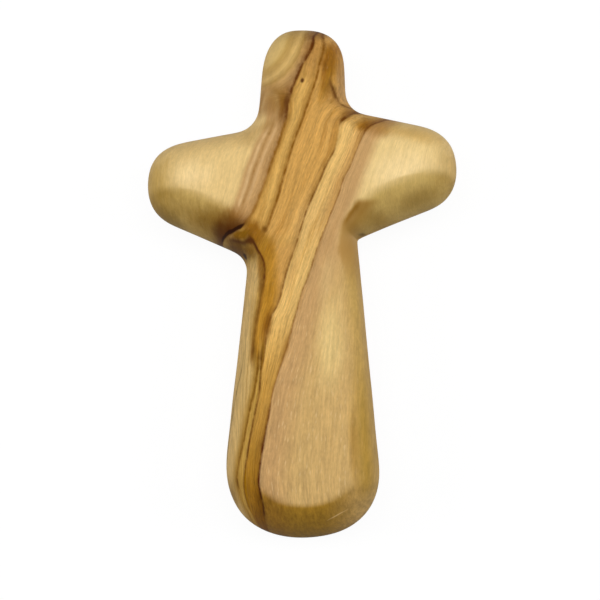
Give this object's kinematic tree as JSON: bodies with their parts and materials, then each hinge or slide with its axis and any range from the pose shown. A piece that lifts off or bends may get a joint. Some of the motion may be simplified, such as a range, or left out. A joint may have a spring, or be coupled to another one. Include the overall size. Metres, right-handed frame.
{
  "type": "holding cross",
  "caption": "Palm-sized cross carved from one piece of olive wood, with a flared shaft, blunt tapered arms, a short head and hand-rounded edges.",
  "frame": {"origin": "middle of the cross's length and width, at the back face it lies on", "axes": "+X towards the cross's right arm as seen from the front, +Y along the shaft towards the head, +Z out of the front face"},
  "size_m": [0.07, 0.115, 0.02],
  "materials": {
    "olive_wood": "sanded smooth and waxed to a satin sheen, pale sapwood on the arms and right side, dark streaked heartwood through the middle"
  },
  "bodies": {
    "root": {"carved_cross": "olive_wood"}
  },
  "joints": []
}
